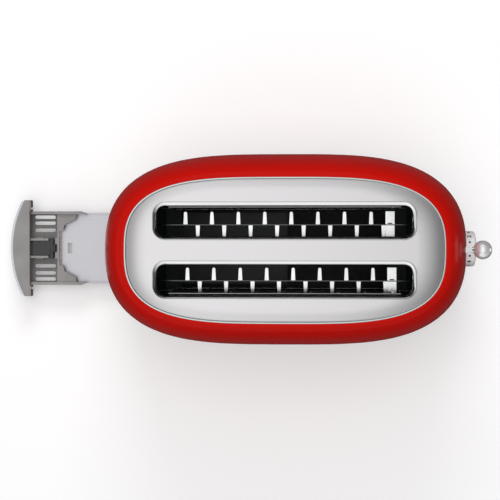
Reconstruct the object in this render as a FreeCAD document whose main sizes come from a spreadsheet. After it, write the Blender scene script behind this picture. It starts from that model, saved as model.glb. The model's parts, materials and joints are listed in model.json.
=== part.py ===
"""A long two-slot pop-up toaster, built as separate pieces. Millimetres, +Z up.

+X points to the lever and dial end, the crumb tray pulls out at the -X end, and the toast slots run along X.
Every piece is modelled about the middle of the body, with the crumb tray at home. It is then moved along X by
dims.body_x, and the tray by dims.tray_out, so that the origin is on the table under the middle of the whole.
"""

import FreeCAD
import Part
import math
import os
import re

import Sketcher
from FreeCAD import Placement, Rotation, Vector

doc = FreeCAD.newDocument("toaster")
sheet = doc.addObject("Spreadsheet::Sheet", "dims")
sub_parts = []

DIMENSIONS = [
    # places
    ("body_x", 52.275, "middle of the body from the origin"),
    ("tray_out", 132.0, "how far the tray stands drawn out"),
    # outer body
    ("body_half_len", 194.6, "half length at the belly"),
    ("body_half_wid", 103.5, "half width at the belly"),
    ("belly_z", 90.0, "height of the widest section"),
    ("shell_low_z", 32.0, "bottom edge of the painted shell"),
    ("shell_top_z", 207.0, "top edge of the painted shell"),
    ("shell_wall", 1.2, "steel wall of the shell"),
    ("tuck_in", 5.0, "how far the shell narrows to its bottom edge"),
    ("rim_half_len", 161.8, "half length of the opening in the shell's top"),
    ("rim_half_wid", 73.9, "half width of that opening"),
    ("body_power_len", 3.47, "oval exponent along X at the belly"),
    ("body_power_wid", 2.48, "oval exponent along Y at the belly"),
    ("rim_power_len", 3.6, "oval exponent along X at the rim"),
    ("rim_power_wid", 2.83, "oval exponent along Y at the rim"),
    ("ring_wid", 1.3, "width of the bright trim ring"),
    ("fit_gap", 0.2, "gap between neighbouring pressed parts"),
    ("plate_top_z", 209.5, "flat of the top plate"),
    ("plate_drop", 3.4, "how far the plate's edge curves down"),
    ("plate_flat", 0.84, "share of the plate that is flat"),
    ("sheet_gauge", 1.2, "thickness of the top plate"),
    # toast slots
    ("slot_len", 265.0, "outer length of a slot collar"),
    ("slot_wid", 38.2, "outer width of a slot collar"),
    ("slot_round", 12.5, "corner radius of a collar"),
    ("slot_y", 29.6, "slot centre to the middle of the body"),
    ("lip", 3.6, "width of the sloping lip of a collar"),
    ("lip_fall", 3.0, "how far that lip falls"),
    ("collar_depth", 6.0, "height of a collar"),
    # base
    ("base_half_len", 187.4, "half length of the base tub"),
    ("base_half_wid", 95.0, "half width of the base tub"),
    ("base_low_z", 7.0, "underside of the base tub"),
    ("floor_z", 10.0, "top of the base floor"),
    ("base_top_z", 36.0, "top of the base wall"),
    ("base_wall", 3.0, "wall of the base tub"),
    ("skirt_out", 2.0, "how far the skirt stands out of the tub"),
    ("mouth_half_wid", 56.2, "half width of the crumb tray mouth"),
    ("mouth_top_z", 30.6, "top of that mouth"),
    ("foot_x", 140.0, "feet from the middle along X"),
    ("foot_y", 62.0, "feet from the middle along Y"),
    ("foot_rad", 10.0, "radius of a foot"),
    # chassis
    ("plate_x", 138.0, "inner face of the chassis end plates"),
    ("steel", 1.0, "gauge of the chassis plates"),
    ("chassis_low_z", 34.0, "underside of the chassis floor"),
    ("chassis_top_z", 196.0, "underside of the chassis top"),
    ("chassis_half_wid", 61.0, "half width of the end plates"),
    ("heat_low_z", 72.0, "lower edge of the heater cards"),
    ("heat_top_z", 194.0, "upper edge of the heater cards"),
    ("card_half_len", 132.0, "half length of a heater card"),
    ("inner_card_y", 5.0, "middle heater cards from the middle plane"),
    ("outer_card_y", 54.0, "outer heater cards from the middle plane"),
    ("card_gauge", 0.8, "mica thickness"),
    # bread cages
    ("cage_near", 17.0, "inner cage wires from the slot centre"),
    ("cage_far", 14.7, "outer cage wires from the slot centre"),
    ("cage_wire", 1.7, "wire diameter"),
    ("wire_pitch", 28.0, "pitch of the upright wires"),
    ("cage_half_len", 124.0, "half length of a cage"),
    ("cage_top_z", 192.0, "top wire of a cage"),
    ("cage_low_z", 70.0, "bottom wire of a cage"),
    ("tail_z", 124.0, "height of the cage tails"),
    ("cage_shift", 7.0, "how far a cage closes"),
    # bread racks and carriage
    ("rack_off", -3.4, "racks from the slot centres"),
    ("rack_top_z", 145.0, "top of a rack with the lever up"),
    ("rack_tall", 9.0, "height of a rack blade"),
    ("rack_gauge", 0.8, "thickness of a rack"),
    ("tooth_len", 13.4, "length of a tooth"),
    ("tooth_root", 4.4, "tooth width at the blade"),
    ("tooth_tip", 3.2, "tooth width at its tip"),
    ("tooth_first", 105.0, "first rear tooth from the middle"),
    ("stroke", 60.0, "lever travel"),
    ("rod_x", 151.0, "guide rods along X"),
    ("rod_y", 34.0, "guide rods from the middle plane"),
    ("rod_rad", 2.5, "guide rod radius"),
    ("bore_rad", 2.58, "bore radius in the slider"),
    ("arm_z", 160.0, "height of the lever arm"),
    ("arm_wid", 5.0, "width of the lever arm"),
    ("ball_x", 205.4, "lever ball along X"),
    ("ball_rad", 9.75, "lever ball radius"),
    ("spring_y", 20.0, "return springs from the middle plane"),
    # controls
    ("dial_z", 66.0, "height of the browning dial"),
    ("dial_rad", 19.6, "dial radius"),
    ("dial_back_x", 194.6, "back face of the dial"),
    ("dial_front_x", 210.9, "front face of the dial"),
    ("button_y", 33.0, "buttons from the middle plane"),
    ("button_low_z", 56.0, "height of the lower buttons"),
    ("button_high_z", 76.0, "height of the upper buttons"),
    ("button_rad", 4.5, "button radius"),
    ("board_x", 166.0, "inner face of the control board"),
    # crumb tray, at home
    ("tray_half_wid", 55.9, "half width of the tray front"),
    ("tray_back_x", -165.8, "back face of the tray front"),
    ("tray_top_z", 29.6, "top of the tray front"),
    ("pan_half_wid", 41.3, "half width of the pan"),
    ("pan_start_x", -132.6, "front edge of the pan"),
    ("pan_end_x", 134.0, "far edge of the pan"),
    ("front_low_z", 10.8, "underside of the tray front"),
    ("pan_low_z", 11.6, "underside of the pan"),
    ("pan_rim_z", 17.2, "top of the pan wall"),
    ("rail_tip_x", -100.6, "tip of the tray's side rails"),
    ("louvre_len", 24.7, "length of a louvre"),
    ("louvre_wid", 4.0, "width of a louvre"),
]


def fill_sheet():
    """One row a dimension: what it is, and its value in a cell that has the alias."""
    for row, (alias, value, meaning) in enumerate(DIMENSIONS, start=1):
        sheet.set(f"A{row}", meaning)
        sheet.set(f"B{row}", str(value))
        sheet.setAlias(f"B{row}", alias)
    doc.recompute()


def expression(text):
    """Prefixes each alias in the text with the sheet's name."""
    return re.sub(r"[A-Za-z_]\w*", lambda word: "dims." + word.group(), str(text))


def size(text):
    """The value of an expression in the sheet's aliases."""
    return float(sheet.evalExpression(expression(text)))


def bind(thing, prop, text):
    thing.setExpression(prop, expression(text))


def put(thing, x, y, z, turn=None):
    """Binds the place of a thing, after its rotation is set."""
    if turn is not None:
        thing.Placement = Placement(Vector(), turn)
    for axis, text in zip("xyz", (x, y, z)):
        bind(thing, f"Placement.Base.{axis}", text)
    return thing


def keep(label, thing, place="body_x"):
    """Names a finished sub-part, whose label names its file, and moves it along X to its place."""
    own = [text for path, text in thing.ExpressionEngine if path.endswith("Placement.Base.x")]
    thing.setExpression("Placement.Base.x", " + ".join([expression(place), *own]))
    thing.Label = label
    sub_parts.append(thing)
    return thing


# ---------------------------------------------------------------- primitives and booleans

ALONG_X = Rotation(Vector(0, 1, 0), 90)
ALONG_Y = Rotation(Vector(1, 0, 0), -90)


def box(x, y, z):
    """A box between two corners. Each of x, y and z is a (low, high) pair of expressions."""
    thing = doc.addObject("Part::Box", "box")
    for prop, (low, high) in zip(("Length", "Width", "Height"), (x, y, z)):
        bind(thing, prop, f"({high}) - ({low})")
    return put(thing, x[0], y[0], z[0])


def cylinder(radius, x, y, z, length, turn=None):
    """A cylinder that starts at x, y, z and runs up, or along the axis that turn gives."""
    thing = doc.addObject("Part::Cylinder", "cylinder")
    bind(thing, "Radius", radius)
    bind(thing, "Height", length)
    return put(thing, x, y, z, turn)


def cone(low_radius, high_radius, x, y, z, length, turn=None):
    thing = doc.addObject("Part::Cone", "cone")
    bind(thing, "Radius1", low_radius)
    bind(thing, "Radius2", high_radius)
    bind(thing, "Height", length)
    return put(thing, x, y, z, turn)


def fuse(*things):
    joined = doc.addObject("Part::MultiFuse", "fuse")
    joined.Shapes = list(things)
    joined.Refine = True
    return joined


def group(*things):
    """Several separate solids as one sub-part."""
    several = doc.addObject("Part::Compound", "group")
    several.Links = list(things)
    return several


def cut(base, *tools):
    made = doc.addObject("Part::Cut", "cut")
    made.Base = base
    made.Tool = tools[0] if len(tools) == 1 else fuse(*tools)
    return made


def common(base, tool):
    made = doc.addObject("Part::Common", "common")
    made.Base = base
    made.Tool = tool
    return made


def feature(shape):
    """A shape that no primitive or sketch fits."""
    thing = doc.addObject("Part::Feature", "form")
    thing.Shape = shape
    return thing


# ---------------------------------------------------------------- ovals

def oval_wire(half_len, half_wid, z, powers, points=40):
    """A closed smooth curve |x/half_len|^p + |y/half_wid|^q = 1 at height z."""
    power_len, power_wid = powers
    outline = []
    for step in range(points):
        angle = 2 * math.pi * step / points
        cosine, sine = abs(math.cos(angle)), abs(math.sin(angle))
        reach = 1.0
        for _ in range(40):
            total = (reach * cosine) ** power_len + (reach * sine) ** power_wid
            reach *= total ** (-1.0 / 3.0)
        outline.append(
            Vector(half_len * reach * math.cos(angle), half_wid * reach * math.sin(angle), z)
        )
    curve = Part.BSplineCurve()
    curve.interpolate(outline, PeriodicFlag=True)
    return Part.Wire([curve.toShape()])


def body_powers():
    return size("body_power_len"), size("body_power_wid")


def rim_powers():
    return size("rim_power_len"), size("rim_power_wid")


def oval_prism(half_len, half_wid, low_z, high_z, powers):
    """An oval wire of the sheet's sizes, extruded between two heights that are bound to the sheet."""
    wire = feature(oval_wire(size(half_len), size(half_wid), 0.0, powers))
    prism = doc.addObject("Part::Extrusion", "prism")
    prism.Base = wire
    prism.Dir = Vector(0, 0, 1)
    prism.DirMode = "Custom"
    prism.Solid = True
    bind(prism, "LengthFwd", f"({high_z}) - ({low_z})")
    return put(prism, "0", "0", low_z)


# ---------------------------------------------------------------- sketches and bodies

def new_body(name):
    return doc.addObject("PartDesign::Body", name)


def plane_of(body, role):
    return next(item for item in body.Origin.OriginFeatures if item.Role == role)


def new_sketch(body, role="XY_Plane", offset=None):
    """A sketch on one of its body's origin planes, lifted off it by the expression offset."""
    sketch = body.newObject("Sketcher::SketchObject", "sketch")
    sketch.AttachmentSupport = [(plane_of(body, role), "")]
    sketch.MapMode = "FlatFace"
    if offset is not None:
        bind(sketch, "AttachmentOffset.Base.z", offset)
    return sketch


def fix_point(sketch, geometry, vertex, x, y):
    """Holds a vertex at two distances from the origin, both bound to the sheet."""
    for kind, text in (("DistanceX", x), ("DistanceY", y)):
        index = sketch.addConstraint(
            Sketcher.Constraint(kind, -1, 1, geometry, vertex, size(text))
        )
        name = f"{kind}_{index}"
        sketch.renameConstraint(index, name)
        bind(sketch, f"Constraints.{name}", text)


def polygon(sketch, corners):
    """A closed outline of straight edges through corners, each a pair of expressions."""
    first = sketch.GeometryCount
    count = len(corners)
    ends = [Vector(size(x), size(y), 0) for x, y in corners]
    for i in range(count):
        sketch.addGeometry(Part.LineSegment(ends[i], ends[(i + 1) % count]), False)
    for i in range(count):
        here, after = first + i, first + (i + 1) % count
        sketch.addConstraint(Sketcher.Constraint("Coincident", here, 2, after, 1))
    for i, (x, y) in enumerate(corners):
        fix_point(sketch, first + i, 1, x, y)


def rectangle(sketch, x, y):
    (x0, x1), (y0, y1) = x, y
    polygon(sketch, [(x0, y0), (x1, y0), (x1, y1), (x0, y1)])


def circle(sketch, x, y, radius):
    centre = Vector(size(x), size(y), 0)
    index = sketch.addGeometry(Part.Circle(centre, Vector(0, 0, 1), size(radius)), False)
    held = sketch.addConstraint(Sketcher.Constraint("Radius", index, size(radius)))
    sketch.renameConstraint(held, f"radius_{held}")
    bind(sketch, f"Constraints.radius_{held}", radius)
    fix_point(sketch, index, 3, x, y)


def pad(body, sketch, length, midplane=False, reverse=False):
    made = body.newObject("PartDesign::Pad", "pad")
    made.Profile = sketch
    bind(made, "Length", length)
    made.Midplane = midplane
    made.Reversed = reverse
    return made


def pocket(body, sketch, length, midplane=False, reverse=False):
    """Removes material and makes sure that it did."""
    doc.recompute()
    before = body.Shape.Volume
    made = body.newObject("PartDesign::Pocket", "pocket")
    made.Profile = sketch
    bind(made, "Length", length)
    made.Midplane = midplane
    made.Reversed = reverse
    doc.recompute()
    if not body.Shape.Volume < before - 1e-3:
        raise RuntimeError(f"{body.Name}: a pocket cut nothing")
    return made


def row_of(body, original, count, pitch, role="X_Axis"):
    """A linear pattern along one of the body's axes."""
    doc.recompute()
    pattern = body.newObject("PartDesign::LinearPattern", "row")
    pattern.Originals = [original]
    axis = next(item for item in body.Origin.OriginFeatures if item.Role == role)
    pattern.Direction = (axis, [""])
    bind(pattern, "Length", f"({count} - 1)*({pitch})")
    pattern.Occurrences = count
    body.Tip = pattern
    doc.recompute()
    return pattern


def fillet_edges(body, radius, wanted):
    """Rounds the edges of the body's tip that the test wanted picks."""
    doc.recompute()
    base = body.Tip
    names = [
        f"Edge{i}" for i, edge in enumerate(base.Shape.Edges, start=1) if wanted(edge)
    ]
    made = body.newObject("PartDesign::Fillet", "fillet")
    made.Base = (base, names)
    bind(made, "Radius", radius)
    doc.recompute()
    return made


def upright(edge):
    """True for a straight edge along Z."""
    return len(edge.Vertexes) == 2 and abs(edge.BoundBox.ZLength - edge.Length) < 1e-6


# ---------------------------------------------------------------- outer body

def profile(angle, wall=0.0):
    """Half length, half width and height of the shell's wall. The angle is 0 at the belly and 90 at the rim."""
    top_len = size("rim_half_len + shell_wall")
    top_wid = size("rim_half_wid + shell_wall")
    rise = size("shell_top_z - belly_z")
    lean_len = size("body_half_len") - top_len
    lean_wid = size("body_half_wid") - top_wid
    cosine, sine = math.cos(math.radians(angle)), math.sin(math.radians(angle))

    def inward(lean):
        """How far an offset by the wall moves a point inward and down."""
        out, up = rise * cosine, lean * sine
        reach = math.hypot(out, up)
        return wall * out / reach, wall * up / reach

    in_len, down_len = inward(lean_len)
    in_wid, down_wid = inward(lean_wid)
    half_len = top_len + lean_len * cosine - in_len
    half_wid = top_wid + lean_wid * cosine - in_wid
    height = size("belly_z") + rise * sine - (down_len + down_wid) / 2
    return half_len, half_wid, height


def shell_solid(wall=0.0):
    """The shell's outline as a solid, inset by the wall."""
    low_z = size("shell_low_z")
    belly_z = size("belly_z")
    drop = belly_z - low_z
    sections = []
    for share in (1.03 if wall else 1.0, 0.8, 0.6, 0.4, 0.2):
        inset = size("tuck_in") * share ** 2 + wall
        sections.append(
            (size("body_half_len") - inset, size("body_half_wid") - inset, belly_z - drop * share)
        )
    for angle in (0, 10, 20, 30, 40, 50, 59, 67, 74, 80, 85, 90):
        sections.append(profile(angle, wall))
    wires = [oval_wire(half_len, half_wid, z, body_powers()) for half_len, half_wid, z in sections]
    return Part.makeLoft(wires, True, False)


def shell_openings():
    """The top opening, the lever slot, the dial seat, four button holes and the cord hole."""
    tools = [
        oval_prism("rim_half_len", "rim_half_wid", "shell_top_z - 8", "shell_top_z + 5", rim_powers()),
        box(("body_half_len - 25", "body_half_len + 5"), ("-arm_wid/2 - 1.2", "arm_wid/2 + 1.2"),
            ("arm_z - stroke - 5", "arm_z + 5")),
        cylinder("dial_rad + 1.5", "body_half_len - 25", "0", "dial_z", "30", ALONG_X),
    ]
    for y in ("-button_y", "button_y"):
        for z in ("button_low_z", "button_high_z"):
            tools.append(
                cylinder("button_rad + 0.4", "body_half_len - 25", y, z, "30", ALONG_X)
            )
    return tools


def add_shell():
    body = cut(feature(shell_solid()), feature(shell_solid(size("shell_wall"))))
    keep("outer_shell", cut(body, *shell_openings()))


def add_trim_ring():
    outer = oval_prism("rim_half_len - 0.1", "rim_half_wid - 0.1", "shell_top_z - 3.5",
                       "shell_top_z + 0.3", rim_powers())
    inner = oval_prism("rim_half_len - 0.1 - ring_wid", "rim_half_wid - 0.1 - ring_wid",
                       "shell_top_z - 4", "shell_top_z + 1", rim_powers())
    keep("trim_ring", cut(outer, inner))


def dome(lower):
    """The outline of the top plate as a solid whose edge curves down, lowered by an amount."""
    edge_len = size("rim_half_len - ring_wid - 2*fit_gap")
    edge_wid = size("rim_half_wid - ring_wid - 2*fit_gap")
    flat = size("plate_flat")
    wires = []
    for share in (1.0, 0.75, 0.55, 0.38, 0.24, 0.12, 0.0):
        scale = flat + (1 - flat) * share
        z = size("plate_top_z") - size("plate_drop") * share ** 2 - lower
        wires.append(oval_wire(edge_len * scale, edge_wid * scale, z, rim_powers()))
    return Part.makeLoft(wires, True, False)


def round_box(length, width, corner, y, low_z, high_z):
    """A box with round upright edges, centred at y."""
    body = new_body("round_box")
    sketch = new_sketch(body, offset=low_z)
    rectangle(sketch, (f"-({length})/2", f"({length})/2"),
              (f"{y} - ({width})/2", f"{y} + ({width})/2"))
    pad(body, sketch, f"({high_z}) - ({low_z})")
    fillet_edges(body, corner, upright)
    return body


def add_top_plate():
    plate = cut(feature(dome(0.0)), feature(dome(size("sheet_gauge"))))
    slots = [
        round_box("slot_len + 2*fit_gap", "slot_wid + 2*fit_gap", "slot_round + fit_gap", y,
                  "plate_top_z - 5", "plate_top_z + 5")
        for y in ("-slot_y", "slot_y")
    ]
    keep("top_plate", cut(plate, *slots))


def round_wire(inset, y, z):
    """The slot's outline, drawn in by inset, at height z."""
    half_len, half_wid = size("slot_len/2") - inset, size("slot_wid/2") - inset
    corner, middle = size("slot_round") - inset, size(y)
    arcs = []
    for east, north, start in ((1, 1, 0), (-1, 1, 90), (-1, -1, 180), (1, -1, 270)):
        centre = Vector(east * (half_len - corner), middle + north * (half_wid - corner), size(z))
        arcs.append(Part.makeCircle(corner, centre, Vector(0, 0, 1), start, start + 90))
    edges = []
    for arc, after in zip(arcs, arcs[1:] + arcs[:1]):
        edges.append(arc)
        edges.append(Part.makeLine(arc.lastVertex().Point, after.firstVertex().Point))
    return Part.Wire(edges)


def add_collar(label, y):
    """A slot's collar: a deep ring with a lip that slopes into the slot."""
    outer = round_box("slot_len", "slot_wid", "slot_round", y,
                      "plate_top_z - collar_depth", "plate_top_z + 0.5")
    inner = round_box("slot_len - 2*lip", "slot_wid - 2*lip", "slot_round - lip", y,
                      "plate_top_z - 20", "plate_top_z + 5")
    lower = round_wire(size("lip + 0.4"), y, "plate_top_z + 0.5 - lip_fall*(lip + 0.4)/lip")
    upper = round_wire(size("-0.1"), y, "plate_top_z + 0.5 + lip_fall*0.5/lip")
    slope = feature(Part.makeLoft([lower, upper], True, True))
    keep(label, cut(outer, inner, slope))


# ---------------------------------------------------------------- base

def add_base():
    tub = oval_prism("base_half_len", "base_half_wid", "base_low_z", "base_top_z", body_powers())
    inside = oval_prism("base_half_len - base_wall", "base_half_wid - base_wall", "floor_z",
                        "base_top_z + 5", body_powers())
    shell = cut(tub, inside)
    extras = []
    for y in (("-47", "-44"), ("44", "47")):
        extras.append(box(("-150", "138"), y, ("floor_z - 1", "24")))
    extras.append(box(("135", "138"), ("-45", "45"), ("floor_z - 1", "18")))
    for x in ("-128", "128"):
        for y in ("-56", "56"):
            extras.append(cylinder("5", x, y, "floor_z - 1", "chassis_low_z - floor_z + 1"))
    tools = [box(("-base_half_len - 5", "-150.5"), ("-mouth_half_wid", "mouth_half_wid"),
                 ("floor_z", "mouth_top_z"))]
    for x in ("-128", "128"):
        for y in ("-56", "56"):
            tools.append(cylinder("1.7", x, y, "0", "60"))
    for x in ("-foot_x", "foot_x"):
        for y in ("-foot_y", "foot_y"):
            tools.append(cylinder("2.6", x, y, "0", "20"))
    for x in range(-75, 80, 25):
        tools.append(box((f"{x} - 3", f"{x} + 3"), ("60", "80"), ("0", "20")))
        tools.append(box((f"{x} - 3", f"{x} + 3"), ("-80", "-60"), ("0", "20")))
    tools.append(cylinder("5", "60", "base_half_wid - 25", "22", "60", ALONG_Y))
    keep("base_tub", cut(fuse(shell, *extras), *tools))


def add_skirt():
    outer = oval_prism("base_half_len + skirt_out", "base_half_wid + skirt_out", "base_low_z + 1",
                       "shell_low_z - 0.2", body_powers())
    inner = oval_prism("base_half_len + 0.1", "base_half_wid + 0.1", "base_low_z - 1",
                       "shell_low_z + 5", body_powers())
    mouth = box(("-base_half_len - 9", "-150.5"), ("-mouth_half_wid", "mouth_half_wid"),
                ("floor_z", "mouth_top_z"))
    cord_hole = cylinder("5", "60", "base_half_wid - 25", "22", "60", ALONG_Y)
    keep("chrome_skirt", cut(cut(outer, inner), mouth, cord_hole))


def add_feet():
    places = [("-foot_x", "-foot_y"), ("-foot_x", "foot_y"), ("foot_x", "-foot_y"), ("foot_x", "foot_y")]
    for number, (x, y) in enumerate(places, start=1):
        pad_part = cone("foot_rad - 1.2", "foot_rad", x, y, "0", "base_low_z")
        stem = cylinder("2.5", x, y, "base_low_z - 1", "floor_z - base_low_z + 1")
        head = cone("3.6", "2.4", x, y, "floor_z", "2.5")
        keep(f"foot_{number}", fuse(pad_part, stem, head))


def add_cord_gland():
    """A short bush in the skirt where the mains cord goes in."""
    face = "base_half_wid + skirt_out - 0.3"
    body = cylinder("4.8", "60", f"{face} - 14", "22", "14", ALONG_Y)
    flange = cylinder("6.8", "60", face, "22", "2.5", ALONG_Y)
    bore = cylinder("3", "60", f"{face} - 20", "22", "30", ALONG_Y)
    keep("cord_gland", cut(fuse(body, flange), bore))


def add_case_screws():
    """Four screws through the base into the chassis."""
    screws = []
    for x in ("-128", "128"):
        for y in ("-56", "56"):
            shank = cylinder("1.6", x, y, "base_low_z", "chassis_low_z - base_low_z + 4")
            head = cylinder("3.2", x, y, "base_low_z - 2", "2")
            screws.append(fuse(head, shank))
    keep("case_screws", group(*screws))


# ---------------------------------------------------------------- chassis

def add_chassis_floor():
    """The floor, open over the crumb tray, with two brackets for the control board."""
    sheet_part = box(("-plate_x - steel", "plate_x + 22"), ("-chassis_half_wid", "chassis_half_wid"),
                     ("chassis_low_z", "chassis_low_z + steel"))
    crumb_hole = box(("-plate_x + 18", "plate_x - 22"), ("-48", "48"), ("0", "60"))
    holes = []
    for x in ("-128", "128"):
        for y in ("-56", "56"):
            holes.append(cylinder("1.6", x, y, "0", "60"))
    brackets = []
    for y in ("-38", "38"):
        brackets.append(box(("board_x - 2.5", "board_x"), (f"{y} - 3", f"{y} + 3"), ("chassis_low_z", "88")))
        brackets.append(box(("plate_x + 16.5", "board_x - 2.5"), (f"{y} - 3", f"{y} + 3"),
                            ("chassis_low_z", "chassis_low_z + steel + 2")))
    keep("chassis_floor", fuse(cut(sheet_part, crumb_hole, *holes), *brackets))


def add_chassis_top():
    """The top sheet, with a tongue that holds the guide rods and three posts that carry the top plate."""
    main = box(("-plate_x - steel", "plate_x + steel"), ("-chassis_half_wid", "chassis_half_wid"),
               ("chassis_top_z", "chassis_top_z + steel"))
    tongue = box(("plate_x", "rod_x + 6"), ("-rod_y - 6", "rod_y + 6"),
                 ("chassis_top_z", "chassis_top_z + steel"))
    slots = []
    for y in ("-slot_y", "slot_y"):
        slots.append(round_box("slot_len - 3", "slot_wid - 3", "slot_round - 2", y,
                               "chassis_top_z - 5", "chassis_top_z + 5"))
    posts = []
    for x in ("-100", "0", "100"):
        posts.append(cylinder("3", x, "0", "chassis_top_z", "plate_top_z - sheet_gauge - chassis_top_z"))
    keep("chassis_top", fuse(cut(fuse(main, tongue), *slots), *posts))


def add_end_plate(label, low_x):
    """An end plate: upright slots for the racks, level slots for the cages' tails."""
    body = new_body(label)
    sketch = new_sketch(body, "YZ_Plane", low_x)
    rectangle(sketch, ("-chassis_half_wid", "chassis_half_wid"),
              ("chassis_low_z + steel", "chassis_top_z"))
    pad(body, sketch, "steel")
    holes = new_sketch(body, "YZ_Plane", low_x)
    for side in ("-1", "1"):
        y = f"{side}*slot_y + rack_off"
        rectangle(holes, (f"{y} - 1.2", f"{y} + 1.2"),
                  ("rack_top_z - rack_tall - stroke - 2", "rack_top_z + 3"))
    pocket(body, holes, "20", midplane=True)
    levels = new_sketch(body, "YZ_Plane", low_x)
    for side in ("-1", "1"):
        near = f"{side}*(slot_y - cage_near)"
        near_in = f"{side}*(slot_y - cage_near + cage_shift)"
        far = f"{side}*(slot_y + cage_far)"
        far_in = f"{side}*(slot_y + cage_far - cage_shift)"
        for start, stop in ((near, near_in), (far_in, far)):
            low, high = (start, stop) if side == "1" else (stop, start)
            rectangle(levels, (f"{low} - 1.1", f"{high} + 1.1"), ("tail_z - 1.1", "tail_z + 1.1"))
    pocket(body, levels, "20", midplane=True)
    keep(label, body)


def add_side_walls():
    """Bright sheets outside the outer heater cards."""
    for label, low, high in (("side_wall_rear", "chassis_half_wid - steel", "chassis_half_wid"),
                             ("side_wall_front", "-chassis_half_wid", "-chassis_half_wid + steel")):
        keep(label, box(("-plate_x", "plate_x"), (low, high), ("chassis_low_z + steel", "chassis_top_z")))


# ---------------------------------------------------------------- heaters

def card_places():
    return ("-outer_card_y", "-inner_card_y", "inner_card_y", "outer_card_y")


def add_heater_cards():
    for number, y in enumerate(card_places(), start=1):
        body = new_body(f"heater_card_{number}")
        sketch = new_sketch(body, "XZ_Plane", f"-({y}) - card_gauge/2")
        rectangle(sketch, ("-card_half_len - 5.9", "card_half_len + 5.9"), ("heat_low_z", "heat_top_z"))
        pad(body, sketch, "card_gauge")
        cuts = new_sketch(body, "XZ_Plane", f"-({y}) - card_gauge/2")
        for side in ("-1", "1"):
            low, high = ("card_half_len + 1", "card_half_len + 9")
            pair = (low, high) if side == "1" else (f"-({high})", f"-({low})")
            rectangle(cuts, pair, ("tail_z - 14", "tail_z + 14"))
        pocket(body, cuts, "20", midplane=True)
        holes = new_sketch(body, "XZ_Plane", f"-({y}) - card_gauge/2")
        for low, high in (("card_half_len - 4.4", "card_half_len - 3.7"), ("-card_half_len + 3.7", "-card_half_len + 4.4")):
            rectangle(holes, (low, high), ("heat_low_z + 8.8", "heat_low_z + 10.8"))
        row_of(body, pocket(body, holes, "20", midplane=True), 10, "11.5", "Z_Axis")
        keep(f"heater_card_{number}", body)


def add_heater_ribbons():
    """Flat rings of resistance ribbon round each card."""
    ribbons = []
    for y in card_places():
        for turn in range(10):
            z = f"heat_low_z + 9 + {turn}*11.5"
            low, high = f"{y} - card_gauge/2 - 0.15", f"{y} + card_gauge/2 + 0.15"
            outer = box(("-card_half_len + 4", "card_half_len - 4"), (low, high), (z, f"{z} + 1.6"))
            inner = box(("-card_half_len + 4.15", "card_half_len - 4.15"),
                        (f"{y} - card_gauge/2 - 0.01", f"{y} + card_gauge/2 + 0.01"),
                        (f"{z} - 1", f"{z} + 3"))
            ribbons.append(cut(outer, inner))
    keep("heater_ribbons", group(*ribbons))


# ---------------------------------------------------------------- bread cages and racks

def add_cages():
    """Four wire guards. Each has nine uprights, two rails and a tail at each end that runs in the end plates."""
    places = ("-1*(slot_y - cage_near)", "-1*(slot_y + cage_far)", "slot_y - cage_near", "slot_y + cage_far")
    for number, y in enumerate(places, start=1):
        wires = []
        for z in ("cage_low_z", "cage_top_z"):
            start = "-cage_half_len" if z == "cage_low_z" else "-118"
            stop = "cage_half_len" if z == "cage_low_z" else "118"
            wires.append(cylinder("cage_wire/2 + 0.1", start, y, z, f"{stop} - ({start})", ALONG_X))
        for turn in range(8):
            wires.append(cylinder("cage_wire/2", f"-4*wire_pitch + {turn}*wire_pitch", y, "cage_low_z",
                                  "cage_top_z - cage_low_z"))
        wires.append(cylinder("cage_wire/2", "4*wire_pitch", y, "rack_top_z + 8",
                              "cage_top_z - rack_top_z - 8"))
        for x, tail_x in (("-cage_half_len + 1", "-plate_x - 4.5"), ("cage_half_len - 1", "cage_half_len - 1.5")):
            wires.append(cylinder("cage_wire/2", x, y, "cage_low_z", "tail_z - cage_low_z + 0.5"))
            wires.append(cylinder("cage_wire/2 - 0.05", tail_x, y, "tail_z",
                                  "plate_x + 5.5 - cage_half_len", ALONG_X))
        keep(f"cage_{number}", fuse(*wires))


def add_rack(label, side, shift):
    """A bread rack: a blade on edge, eight teeth a side, an end strip and two tails."""
    y = f"({side}*slot_y + rack_off)"
    top = "rack_top_z"
    body = new_body(label)
    blade = new_sketch(body, "XZ_Plane", f"-({y}) - rack_gauge/2")
    rectangle(blade, ("-plate_x - 4", "plate_x + 2.5"), (f"{top} - rack_tall", top))
    pad(body, blade, "rack_gauge")
    for sign, first in (("1", "-tooth_first"), ("-1", "-tooth_first + wire_pitch/2 - 1")):
        tooth = new_sketch(body, "XY_Plane", f"{top} - 1.2")
        root = f"{y} + {sign}*rack_gauge/4"
        tip = f"{y} + {sign}*(rack_gauge/2 + tooth_len)"
        near_tip = f"{y} + {sign}*(rack_gauge/2 + tooth_len - 1.1)"
        x = f"{first} + {shift}"
        corners = [
            (f"{x} - tooth_root/2", root),
            (f"{x} + tooth_root/2", root),
            (f"{x} + tooth_tip/2", near_tip),
            (f"{x} + tooth_tip/4", tip),
            (f"{x} - tooth_tip/4", tip),
            (f"{x} - tooth_tip/2", near_tip),
        ]
        if sign == "-1":
            corners.reverse()
        polygon(tooth, corners)
        row_of(body, pad(body, tooth, "1.2"), 8, "wire_pitch")
    strip = new_sketch(body, "XY_Plane", f"{top} - 0.4")
    rectangle(strip, (f"{shift} + 106", f"{shift} + 115.5"), (f"{y} - 14.2", f"{y} + 14.2"))
    pad(body, strip, "1.4")
    notch = new_sketch(body, "XY_Plane", f"{top} - 0.6")
    rectangle(notch, (f"{shift} + 108.4", f"{shift} + 113.2"), (f"{y} + 0.9", f"{y} + 2.1"))
    pocket(body, notch, "8", midplane=True)
    keep(label, body)


# ---------------------------------------------------------------- carriage

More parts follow.
